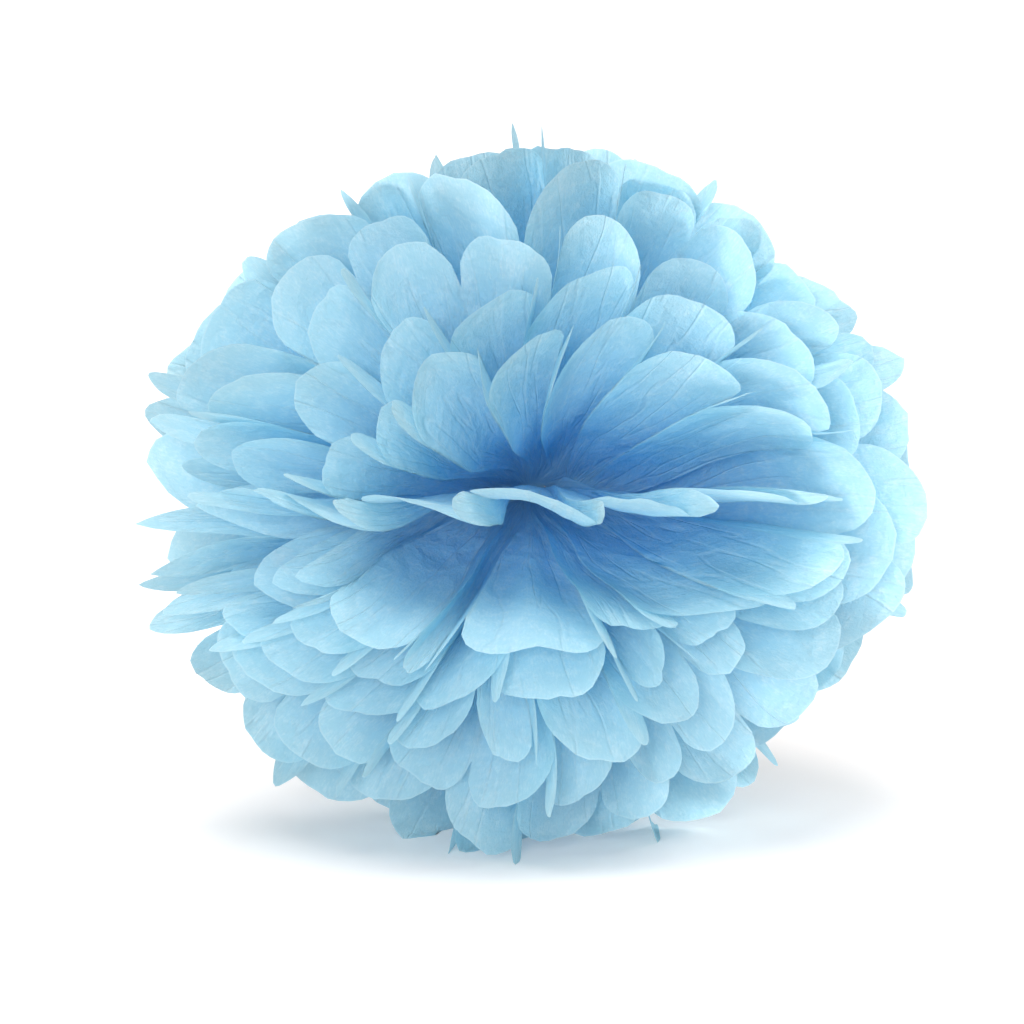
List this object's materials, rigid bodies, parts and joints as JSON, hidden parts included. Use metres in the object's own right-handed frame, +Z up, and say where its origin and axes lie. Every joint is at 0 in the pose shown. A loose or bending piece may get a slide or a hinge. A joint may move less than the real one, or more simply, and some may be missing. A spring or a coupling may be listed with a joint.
{
  "type": "tissue paper pom pom",
  "caption": "Fluffy ball of pleated tissue paper sheets with round petal ends, tied at the waist with wire and fanned out all round.",
  "frame": {"origin": "the middle of the bottom of the part's box, on the surface that the ball stands on", "axes": "+Z up, -Y out of the front of the ball, the heart of the flower that the picture shows, +X to the right as seen from the front"},
  "size_m": [0.2487, 0.2194, 0.2262],
  "materials": {
    "tissue": "matt, thin, lets light through",
    "wire": "plain drawn wire"
  },
  "bodies": {
    "root": {"tissue_sheet_01": "tissue", "tissue_sheet_02": "tissue", "tissue_sheet_03": "tissue", "tissue_sheet_04": "tissue", "tissue_sheet_05": "tissue", "tissue_sheet_06": "tissue", "tissue_sheet_07": "tissue", "tissue_sheet_08": "tissue", "tissue_sheet_09": "tissue", "tissue_sheet_10": "tissue", "tissue_sheet_11": "tissue", "tissue_sheet_12": "tissue", "wire_tie": "wire"}
  },
  "joints": []
}
